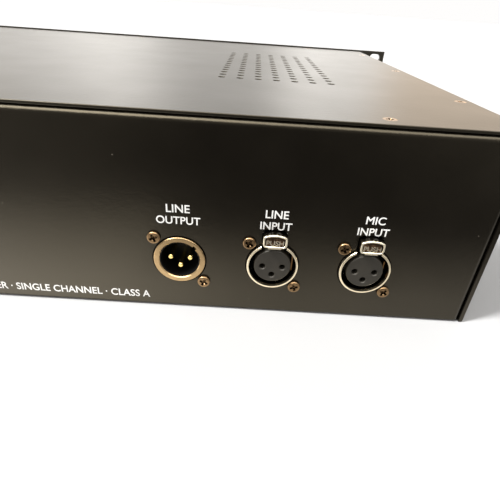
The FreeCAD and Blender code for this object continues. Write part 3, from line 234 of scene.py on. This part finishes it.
# ---------------------------------------------------------------- kinds of material
SHEEN_TINT = (1.0, 0.88, 0.64, 1.0)
DUST = (0.16, 0.14, 0.11)
# Painted shade for the deep gap round a connector's ring.
GAP_SHADE = (0.01, 0.009, 0.008)
# Painted shade for a latch's sides behind its tab.
TAB_SIDE_SHADE = (0.035, 0.029, 0.022)
BRUSHED = (1, 1, 0.02)     # long upright lines


def powder_coat(name, color, roughness, dusty=False):
    look = Look(name, color, roughness, Specular_Tint=SHEEN_TINT)
    look.mottle(60, 0.85, 1.2)
    if dusty:
        look.specks(130, 0.035, DUST)
    look.uneven(35, 0.012)
    look.grain(1500, 0.12 * MM, 0.28).grain(520, 0.3 * MM, 0.13)
    return look.material


def plated(name, color, roughness, scale=900, stretch=None, shade_in_hollows=False, shade_before=None, dark=GAP_SHADE):
    look = Look(name, color, roughness, 1.0)
    look.mottle(350, 0.88, 1.08)
    # Painted shade in narrow hollows, such as a screw's recess.
    if shade_in_hollows:
        look.grime(1.2 * MM)
    # Painted shade in front of a plane across Y, for parts that sit back in a gap.
    if shade_before:
        look.darkened_before(shade_before, dark)
    look.uneven(260, 0.05)
    look.grain(scale, 0.04 * MM, 0.25, stretch)
    return look.material


def plastic(name, color, roughness, height=0.04 * MM, shine=0.5):
    look = Look(name, color, roughness, Specular_IOR_Level=shine)
    look.mottle(120, 0.85, 1.15)
    look.uneven(90, 0.04)
    look.grain(1800, height, 0.3)
    return look.material


def glass(name, color, roughness):
    look = Look(name, color, roughness, Transmission_Weight=1.0, IOR=1.5)
    look.uneven(60, 0.02)
    look.grain(200, 0.03 * MM, 0.1)
    return look.material


# ---------------------------------------------------------------- the materials
COAT = (0.0055, 0.0045, 0.0034)
# Painted shade: the rings darken just inside the panel's face, where the gap round them is in shade.
SHELL_GAP_SHADE = {"shade_before": REAR_Y - 0.2 * MM}
# Painted shade: a latch's metal turns dark a little way in from the back of its tab, where it sits in the
# gap.
TAB_GAP_SHADE = {"shade_before": LATCH_REAR_Y - 0.5 * MM, "dark": TAB_SIDE_SHADE}
RECIPES = {
    "powder_coat": (powder_coat, COAT, 0.25, {"dusty": True}),
    "cover_coat": (powder_coat, COAT, 0.36, {"dusty": True}),
    "front_paint": (powder_coat, (0.012, 0.012, 0.012), 0.38, {}),
    "can_steel": (powder_coat, (0.05, 0.05, 0.055), 0.4, {}),
    "zinc_steel": (plated, (0.55, 0.55, 0.52), 0.35, {}),
    "bronze_screw": (plated, (0.21, 0.135, 0.07), 0.28, {"shade_in_hollows": True}),
    "contact_bronze": (plated, (0.16, 0.09, 0.04), 0.3, {}),
    "nickel": (plated, (0.70, 0.62, 0.50), 0.26, {}),
    "male_ring": (plated, (0.36, 0.25, 0.13), 0.26, SHELL_GAP_SHADE),
    "female_ring": (plated, (0.92, 0.80, 0.58), 0.24, SHELL_GAP_SHADE),
    "latch_metal": (plated, (0.90, 0.80, 0.62), 0.24, TAB_GAP_SHADE),
    "bright_rim": (plated, (0.95, 0.86, 0.68), 0.3, {}),
    "recess_bronze": (plated, (0.07, 0.045, 0.03), 0.35, {}),
    "gold": (plated, (1.0, 0.74, 0.28), 0.2, {}),
    "chrome": (plated, (0.85, 0.85, 0.86), 0.08, {}),
    "spring_steel": (plated, (0.5, 0.48, 0.45), 0.3, {}),
    "aluminium": (plated, (0.75, 0.75, 0.76), 0.4, {"scale": 300, "stretch": BRUSHED}),
    "insert_plastic": (plastic, (0.026, 0.022, 0.015), 0.5, {"shine": 0.3}),
    "liner_plastic": (plastic, (0.002, 0.002, 0.002), 0.45, {"shine": 0.15, "height": 0.01 * MM}),
    "black_plastic": (plastic, (0.015, 0.015, 0.015), 0.38, {}),
    "knob_plastic": (plastic, (0.010, 0.010, 0.010), 0.22, {"height": 0.01 * MM}),
    "switch_plastic": (plastic, (0.15, 0.02, 0.02), 0.4, {}),
    "board_green": (plastic, (0.02, 0.14, 0.05), 0.35, {}),
    "ceramic": (plastic, (0.80, 0.77, 0.70), 0.5, {}),
    "winding_tape": (plastic, (0.62, 0.42, 0.06), 0.35, {}),
    "capacitor_sleeve": (plastic, (0.01, 0.03, 0.12), 0.25, {}),
    "wire_red": (plastic, (0.40, 0.03, 0.02), 0.45, {}),
    "wire_white": (plastic, (0.65, 0.65, 0.62), 0.45, {}),
    "white_ink": (plastic, (0.80, 0.79, 0.76), 0.45, {}),
    "jewel": (glass, (0.8, 0.02, 0.01), 0.03, {}),
    "glass": (glass, (0.95, 0.97, 0.96), 0.03, {}),
}
MATERIALS = {}
for look_name, (make, color, roughness, options) in RECIPES.items():
    MATERIALS[look_name] = make(look_name, color, roughness, **options)

# Every node looks like its slot in the record, apart from these.
LOOK_OF = {entry["node"]: entry["material_slot"] for entry in frame["record"]["subparts"]}
LOOK_OF["line_output_shell"] = "male_ring"
LOOK_OF["line_input_shell"] = "female_ring"
LOOK_OF["mic_input_shell"] = "female_ring"
LOOK_OF["line_output_insert"] = "liner_plastic"
LOOK_OF["input_contacts"] = "contact_bronze"
SHARPEST_SMOOTHED = math.radians(28)


def dress_nodes():
    """Gives every CAD node its detailed material, with smooth shading across its curved faces."""
    for name, node in NODES.items():
        for slot in node.material_slots:
            slot.material = MATERIALS[LOOK_OF[name]]
        for polygon in node.data.polygons:
            polygon.use_smooth = True
        split = node.modifiers.new("split", "EDGE_SPLIT")
        split.split_angle = SHARPEST_SMOOTHED


# ---------------------------------------------------------------- making new pieces
FACING_REAR = Matrix(((-1, 0, 0), (0, 0, 1), (0, 1, 0)))
FACING_FRONT = Matrix(((1, 0, 0), (0, 0, -1), (0, 1, 0)))


def add_piece(name, mesh, look, body="chassis"):
    """Puts a mesh made in place, in the CAD frame, on one of the part's bodies."""
    piece = bpy.data.objects.new(name, mesh)
    bpy.context.scene.collection.objects.link(piece)
    mesh.materials.clear()
    mesh.materials.append(MATERIALS[look])
    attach(piece, body)


def merged(name, meshes):
    """One mesh from several."""
    whole = bmesh.new()
    for mesh in meshes:
        whole.from_mesh(mesh)
    result = bpy.data.meshes.new(name)
    whole.to_mesh(result)
    whole.free()
    return result


def text_mesh(words, weight):
    """The outline of some words as a mesh in the XY plane, one unit of depth thick."""
    curve = bpy.data.curves.new("words", "FONT")
    curve.body = words
    curve.size = 1.0
    curve.offset = weight
    curve.resolution_u = 6
    curve.extrude = 0.5
    holder = bpy.data.objects.new("words", curve)
    bpy.context.scene.collection.objects.link(holder)
    mesh = bpy.data.meshes.new_from_object(holder)
    bpy.data.objects.remove(holder)
    return mesh


def stood_words(words, weight, turn, place, height, depth, width=None, span=None):
    """Words stood on a panel, with the middle of their foot at a place. The height is that of the letters, or
    of a span in the font's own units. The width follows from the height unless it is given."""
    mesh = text_mesh(words, weight)
    xs = [vertex.co.x for vertex in mesh.vertices]
    ys = [vertex.co.y for vertex in mesh.vertices]
    foot, top = span or (min(ys), max(ys))
    scale_y = height / (top - foot)
    scale_x = width / (max(xs) - min(xs)) if width else scale_y
    centre = (min(xs) + max(xs)) / 2
    for vertex in mesh.vertices:
        p = vertex.co
        flat = Vector(((p.x - centre) * scale_x, (p.y - foot) * scale_y, p.z * depth))
        vertex.co = turn @ flat + place
    return mesh


def plate_mesh(points, y0, y1):
    """A thin plate across Y with an outline of (x, z) points."""
    shape = bmesh.new()
    rings = []
    for y in (y0, y1):
        rings.append([shape.verts.new((x, y, z)) for x, z in points])
    for ring in rings:
        shape.faces.new(ring)
    count = len(points)
    for i in range(count):
        j = (i + 1) % count
        shape.faces.new((rings[0][i], rings[0][j], rings[1][j], rings[1][i]))
    bmesh.ops.recalc_face_normals(shape, faces=shape.faces)
    mesh = bpy.data.meshes.new("plate")
    shape.to_mesh(mesh)
    shape.free()
    return mesh


BEAD_SECTION = 9


def bead_mesh(points, y, half_width, height):
    """A rounded bead along a closed outline of (x, z) points, standing on a plane across Y."""
    count = len(points)
    corners = []
    for i, (x, z) in enumerate(points):
        (ax, az), (bx, bz) = points[i - 1], points[(i + 1) % count]
        along = Vector((bx - ax, bz - az)).normalized()
        for k in range(BEAD_SECTION):
            angle = math.pi * k / (BEAD_SECTION - 1)
            across = math.cos(angle) * half_width
            corners.append((x - along.y * across, y + math.sin(angle) * height, z + along.x * across))
    faces = []
    for i in range(count):
        start, after = i * BEAD_SECTION, (i + 1) % count * BEAD_SECTION
        for k in range(BEAD_SECTION):
            j = (k + 1) % BEAD_SECTION
            faces.append((start + k, start + j, after + j, after + k))
    mesh = bpy.data.meshes.new("bead")
    mesh.from_pydata(corners, [], faces)
    mesh.shade_smooth()
    return mesh


# ---------------------------------------------------------------- rear lettering
INK = 0.03 * MM
REAR_WEIGHT = 0.013
REAR_WORDS = {
    "line_output": (("LINE", 9.5 * MM), ("OUTPUT", 17.9 * MM)),
    "line_input": (("LINE", 9.3 * MM), ("INPUT", 12.9 * MM)),
    "mic_input": (("MIC", 7.9 * MM), ("INPUT", 12.9 * MM)),
}
REAR_LINES = ((47.4 * MM, 3.5 * MM), (42.2 * MM, 3.45 * MM))     # each line's foot and height
FOOT_WORDS = "VALVE MICROPHONE PREAMPLIFIER \u00b7 SINGLE CHANNEL \u00b7 CLASS A"
FOOT_PITCH = 2.5 * MM
FOOT_END_X = -71.6 * MM
FOOT_Z = 4.0 * MM
FOOT_HEIGHT = 3.7 * MM


def rear_lettering():
    """The printed words over each rear connector, and the line along the foot of the panel."""
    y = REAR_Y + INK / 2
    meshes = []
    for label, words in REAR_WORDS.items():
        x = middle(label + "_insert").x
        for (word, width), (z, height) in zip(words, REAR_LINES):
            place = Vector((x, y, z))
            meshes.append(stood_words(word, REAR_WEIGHT, FACING_REAR, place, height, INK, width))
    width = len(FOOT_WORDS) * FOOT_PITCH
    place = Vector((FOOT_END_X + width / 2, y, FOOT_Z))
    meshes.append(stood_words(FOOT_WORDS, REAR_WEIGHT, FACING_REAR, place, FOOT_HEIGHT, INK, width))
    add_piece("rear_lettering", merged("rear_lettering", meshes), "white_ink")


# ---------------------------------------------------------------- the latches' tabs
TAB_POINTS = 64
TAB_HEIGHT = 6.0 * MM
TAB_ARCH_R = 11 * MM
TAB_BOW = 1.05
RIM_INSET = 0.375 * MM
RIM_HEIGHT = 0.3 * MM
BURIED = 0.02 * MM     # how deep the plate and the bead start in the metal
RECESS_DEPTH = 0.8 * MM
RECESS_PLATE_T = 0.05 * MM
RECESS_HALF = 3.9 * MM
RECESS_FOOT = 5.05 * MM     # down from the tab's top, like the next
RECESS_TOP = 0.95 * MM
RECESS_CORNER = 1.3 * MM     # down from the recess's own top, like the next
RECESS_SHOULDER = 0.5 * MM
SHOULDER_REACH = 0.72
WORD_WEIGHT = 0.02
WORD_HEIGHT = 2.3 * MM
WORD_WIDTH = 7.2 * MM
WORD_DEPTH = 0.7 * MM
WORD_LIFT = 0.1 * MM


def tab_outline(x, z0, z1, half):
    """Points round a tab with bowed sides and an arched top."""
    centre = (z0 + z1) / 2
    rise = (z1 - z0) / 2
    drop = TAB_ARCH_R - rise
    points = []
    for i in range(TAB_POINTS):
        angle = 2 * math.pi * i / TAB_POINTS
        c, s = math.cos(angle), math.sin(angle)
        reach = min(half * TAB_BOW, half / max(abs(c), 0.01), rise / max(abs(s), 0.01))
        if s > 0:
            reach = min(reach, -drop * s + math.sqrt((drop * s) ** 2 + TAB_ARCH_R ** 2 - drop ** 2))
        points.append((x + reach * c, centre + reach * s))
    smooth = []
    for i, (px, pz) in enumerate(points):
        (ax, az), (bx, bz) = points[i - 1], points[(i + 1) % TAB_POINTS]
        smooth.append(((ax + 2 * px + bx) / 4, (az + 2 * pz + bz) / 4))
    return smooth


def recess_outline(x, foot, top):
    """Points round the recess in a tab: a flat foot, and a top with its corners cut off."""
    shoulder = (RECESS_HALF * SHOULDER_REACH, top - RECESS_SHOULDER)
    right = [(RECESS_HALF, foot), (RECESS_HALF, top - RECESS_CORNER), shoulder]
    left = [(-dx, z) for dx, z in reversed(right)]
    return [(x + dx, z) for dx, z in [*right, (0, top), *left]]


def latch_faces():
    """On each latch's tab, moving with it: a rounded bead along the rim, a dark plate inside it and a raised
    word across its foot."""
    for label in ("line_input", "mic_input"):
        body = label + "_latch"
        low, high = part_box(body)
        x = (low.x + high.x) / 2
        floor_y = high.y - RECESS_DEPTH
        foot = high.z - RECESS_FOOT
        outline = recess_outline(x, foot, high.z - RECESS_TOP)
        plate = plate_mesh(outline, floor_y - BURIED, floor_y + RECESS_PLATE_T)
        add_piece(label + "_tab_recess", plate, "recess_bronze", body)
        half = (high.x - low.x) / 2 - RIM_INSET
        rim = tab_outline(x, high.z - TAB_HEIGHT + RIM_INSET, high.z - RIM_INSET, half)
        bead = bead_mesh(rim, high.y - BURIED, RIM_INSET, RIM_HEIGHT)
        add_piece(label + "_tab_bead", bead, "bright_rim", body)
        place = Vector((x, floor_y + WORD_DEPTH / 2, foot + WORD_LIFT))
        word = stood_words("PUSH", WORD_WEIGHT, FACING_REAR, place, WORD_HEIGHT, WORD_DEPTH, WORD_WIDTH)
        add_piece(label + "_push_word", word, "latch_metal", body)


# ---------------------------------------------------------------- front lettering
FRONT_WEIGHT = 0.006
CAPITALS = (0.0, 0.73)     # the foot and top of the font's capitals
TONE_NUMBERS = ("-5", "", "", "", "", "0", "", "", "", "", "+5")
SCALES = {
    "level": (300, [str(i) for i in range(11)]),
    "low": (300, TONE_NUMBERS),
    "high": (300, TONE_NUMBERS),
    "input": (120, ("1", "2", "3", "4", "5")),
    "gain": (120, ("-10", "-5", "0", "+5", "+10")),
}
TICK_WIDTH = 0.4 * MM
TICK_NEAR, TICK_FAR = 1.2 * MM, 3.2 * MM     # out from the knob's edge, like the next
NUMBER_OUT = 5.8 * MM
NUMBER_HEIGHT = 2.3 * MM
TITLE_Z = 8.0 * MM
TITLE_HEIGHT = 2.8 * MM
LABELS = (
    ("phantom_switch_lever", "48 V", 12.5 * MM),
    ("polarity_switch_lever", "POLARITY", 12.5 * MM),
    ("power_switch_lever", "POWER", -14.0 * MM),
    ("instrument_jack", "INSTRUMENT", -14.0 * MM),
)
LABEL_HEIGHT = 2.4 * MM


def front_words(words, x, z, height):
    """Printed words with their middle at a place on the front panel."""
    place = Vector((x, FRONT_Y - INK / 2, z - height / 2))
    return stood_words(words, FRONT_WEIGHT, FACING_FRONT, place, height, INK, span=CAPITALS)


def tick_mesh(start, end):
    """A flat printed line on the front panel between two (x, z) points."""
    along = (end - start).normalized()
    across = Vector((-along.y, along.x)) * TICK_WIDTH / 2
    corners = (start + across, end + across, end - across, start - across)
    return plate_mesh(corners, FRONT_Y - INK, FRONT_Y)


def scale_meshes(knob, sweep, numbers):
    """The ticks and numbers round one knob."""
    low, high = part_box(knob)
    centre = Vector(((low.x + high.x) / 2, (low.z + high.z) / 2))
    radius = (high.x - low.x) / 2
    meshes = []
    for i, number in enumerate(numbers):
        angle = math.radians(90 + sweep / 2 - sweep * i / (len(numbers) - 1))
        outward = Vector((math.cos(angle), math.sin(angle)))
        near, far = centre + outward * (radius + TICK_NEAR), centre + outward * (radius + TICK_FAR)
        meshes.append(tick_mesh(near, far))
        if number:
            x, z = centre + outward * (radius + NUMBER_OUT)
            meshes.append(front_words(number, x, z, NUMBER_HEIGHT))
    return meshes


def front_lettering():
    """Dial scales round every knob, and plain words for what each control does."""
    meshes = []
    for control, (sweep, numbers) in SCALES.items():
        knob = control + "_knob"
        meshes += scale_meshes(knob, sweep, numbers)
        meshes.append(front_words(control.upper(), middle(knob).x, TITLE_Z, TITLE_HEIGHT))
    for node, words, up in LABELS:
        place = middle(node)
        meshes.append(front_words(words, place.x, place.z + up, LABEL_HEIGHT))
    add_piece("front_lettering", merged("front_lettering", meshes), "white_ink")


# ---------------------------------------------------------------- floor and light
FLOOR_COLOR = (0.46, 0.46, 0.46)
FLOOR_REACH = 40.0
FLOOR_Z = -0.2 * MM
KEY_FROM = (1.1, 0.35, 1.5)
KEY_STRENGTH = 5.0
KEY_SPREAD = math.radians(10)


def upright(x0, x1, y, z0, z1):
    """The corners of a sheet across Y."""
    return [(x0, y, z0), (x1, y, z0), (x1, y, z1), (x0, y, z1)]


def level(x0, x1, y0, y1, z):
    """The corners of a sheet across Z."""
    return [(x0, y0, z), (x1, y0, z), (x1, y1, z), (x0, y1, z)]


def staged_sheet(name, corners, material):
    """A flat sheet that belongs to the studio and not to the part."""
    mesh = bpy.data.meshes.new(name)
    mesh.from_pydata(corners, [], [(0, 1, 2, 3)])
    mesh.materials.append(material)
    sheet = bpy.data.objects.new(name, mesh)
    bpy.context.scene.collection.objects.link(sheet)
    return sheet


def open_below(material):
    """Lets the floor be seen through from under it."""
    tree = material.node_tree
    mix = tree.nodes.new("ShaderNodeMixShader")
    clear = tree.nodes.new("ShaderNodeBsdfTransparent")
    side = tree.nodes.new("ShaderNodeNewGeometry")
    tree.links.new(side.outputs["Backfacing"], mix.inputs["Fac"])
    tree.links.new(tree.nodes["Principled BSDF"].outputs["BSDF"], mix.inputs[1])
    tree.links.new(clear.outputs["BSDF"], mix.inputs[2])
    tree.links.new(mix.outputs["Shader"], tree.nodes["Material Output"].inputs["Surface"])


def make_floor():
    """A plain pale floor just under the unit."""
    material = Look("floor", FLOOR_COLOR, 0.9).material
    open_below(material)
    corners = level(-FLOOR_REACH, FLOOR_REACH, -FLOOR_REACH, FLOOR_REACH, FLOOR_Z)
    staged_sheet("floor", corners, material)


def make_key_light():
    """One broad, even light, high on the +X side and a little to the rear."""
    data = bpy.data.lights.new("key", "SUN")
    data.energy = KEY_STRENGTH
    data.angle = KEY_SPREAD
    light = bpy.data.objects.new("key", data)
    light.rotation_euler = Vector(KEY_FROM).to_track_quat("Z", "Y").to_euler()
    bpy.context.scene.collection.objects.link(light)


def make_world():
    """Even white light from all round."""
    world = bpy.data.worlds.new("world")
    bpy.context.scene.world = world
    world.use_nodes = True
    background = world.node_tree.nodes["Background"]
    background.inputs["Color"].default_value = (1.0, 0.99, 0.98, 1)
    background.inputs["Strength"].default_value = 1.0


# ---------------------------------------------------------------- cards, for what the unit reflects
CARD_REACH = 2.0
WALL_Y, WALL_TOP = -1.3, 0.9
CLOSE_Y = REAR_Y + 120 * MM     # where the glows end and the dark floor starts
FAR_Y, DARK_TOP = REAR_Y + 2.6, 1.9
GLOW_Y = REAR_Y + 1 * MM
GLOW_FULL_Y = REAR_Y + 15 * MM
RIGHT_GLOW_END_Y = REAR_Y + 85 * MM
GLOW_LEFT_X, GLOW_SPLIT_X, GLOW_RIGHT_X = 1.0, -0.06, -0.5
GLOW_Z, DARK_FLOOR_Z = 0.4 * MM, 0.5 * MM
OVERHEAD = (-1.6, 1.8, 0.25, 2.2, 1.5)     # its ends along X, its ends along Y and its height

# What each card gives off: places along X with a strength and a colour.
NEUTRAL, WARM = (1.0, 0.97, 0.93), (1.0, 0.83, 0.66)
WALL_STOPS = (
    (-1.0, 2.2, WARM), (-0.7, 2.3, WARM), (-0.48, 2.9, NEUTRAL), (-0.32, 3.3, NEUTRAL), (-0.1, 1.6, NEUTRAL),
    (0.1, 1.6, NEUTRAL), (0.4, 3.1, NEUTRAL), (0.8, 2.1, NEUTRAL), (1.2, 1.9, WARM),
)
DARK_STOPS = (
    (-0.45, 0.25, NEUTRAL), (-0.33, 0.2, NEUTRAL), (-0.25, 0.05, NEUTRAL), (-0.2, 0.0, NEUTRAL),
    (-0.03, 0.0, NEUTRAL), (0.02, 0.2, NEUTRAL), (0.15, 0.3, NEUTRAL),
)
GLOW_STOPS = ((-0.25, 1.0, NEUTRAL), (-0.14, 1.3, NEUTRAL), (-0.02, 3.0, NEUTRAL), (0.10, 3.6, NEUTRAL))
OVERHEAD_STOPS = ((-0.8, 6.0, NEUTRAL), (0.8, 11.0, NEUTRAL))


def stretched(tree, value, **limits):
    """A value stretched from one range to another."""
    node = tree.nodes.new("ShaderNodeMapRange")
    for key, number in limits.items():
        node.inputs[key.replace("_", " ")].default_value = number
    tree.links.new(value, node.inputs["Value"])
    return node.outputs["Result"]


def ramp_color(tree, value, stops, brightest):
    """The stops' colour at a value that runs from 0 to 1, divided by the strength of the brightest."""
    ramp = tree.nodes.new("ShaderNodeValToRGB")
    ramp.color_ramp.interpolation = "EASE"
    elements = ramp.color_ramp.elements
    while len(elements) < len(stops):
        elements.new(0.5)
    for element, (x, strength, color) in zip(elements, stops):
        element.position = (x + CARD_REACH) / (2 * CARD_REACH)
        element.color = (*[channel * strength / brightest for channel in color], 1)
    tree.links.new(value, ramp.inputs["Fac"])
    return ramp.outputs["Color"]


def card_material(name, stops, fade):
    """Light given off as the stops say. A fade, if there is one, takes its strength between two places along
    Y from that of the brightest stop to a last value."""
    brightest = max(strength for _, strength, _ in stops)
    material = bpy.data.materials.new(name)
    material.use_nodes = True
    tree = material.node_tree
    tree.nodes.remove(tree.nodes["Principled BSDF"])
    place = tree.nodes.new("ShaderNodeTexCoord")
    split = tree.nodes.new("ShaderNodeSeparateXYZ")
    tree.links.new(place.outputs["Object"], split.inputs["Vector"])
    along = stretched(tree, split.outputs["X"], From_Min=-CARD_REACH, From_Max=CARD_REACH)
    glow = tree.nodes.new("ShaderNodeEmission")
    glow.inputs["Strength"].default_value = brightest
    tree.links.new(ramp_color(tree, along, stops, brightest), glow.inputs["Color"])
    if fade:
        start, end, last = fade
        limits = {"From_Min": start, "From_Max": end, "To_Min": brightest, "To_Max": last}
        tree.links.new(stretched(tree, split.outputs["Y"], **limits), glow.inputs["Strength"])
    tree.links.new(glow.outputs["Emission"], tree.nodes["Material Output"].inputs["Surface"])
    return material


def card(name, corners, stops, fade=None):
    """A sheet of light, or of near black, that shows only in reflections."""
    sheet = staged_sheet(name, corners, card_material(name, stops, fade))
    for kind in ("camera", "diffuse", "transmission", "volume_scatter", "shadow"):
        setattr(sheet, "visible_" + kind, False)


def make_cards():
    """Reflections: an uneven bright wall in front of the unit for its cover, a dark floor and wall behind it
    for its rear panel, with a glow close to the panel, and a bright sheet overhead for folds and rims."""
    card("front_wall", upright(-CARD_REACH, CARD_REACH, WALL_Y, 0.0, WALL_TOP), WALL_STOPS)
    card("dark_floor", level(-CARD_REACH, CARD_REACH, CLOSE_Y, FAR_Y, DARK_FLOOR_Z), DARK_STOPS)
    card("dark_wall", upright(-CARD_REACH, CARD_REACH, FAR_Y, 0.0, DARK_TOP), DARK_STOPS)
    left = level(GLOW_SPLIT_X, GLOW_LEFT_X, GLOW_Y, CLOSE_Y, GLOW_Z)
    card("left_glow", left, GLOW_STOPS, (GLOW_FULL_Y, CLOSE_Y, 0.2))
    right = level(GLOW_RIGHT_X, GLOW_SPLIT_X, GLOW_Y, CLOSE_Y, GLOW_Z)
    card("right_glow", right, GLOW_STOPS, (GLOW_FULL_Y, RIGHT_GLOW_END_Y, 0.1))
    card("overhead", level(*OVERHEAD), OVERHEAD_STOPS)


# ---------------------------------------------------------------- the scene
make_camera()
make_world()
make_floor()
make_cards()
make_key_light()
dress_nodes()
rear_lettering()
latch_faces()
front_lettering()
bpy.context.scene.view_settings.view_transform = "Standard"
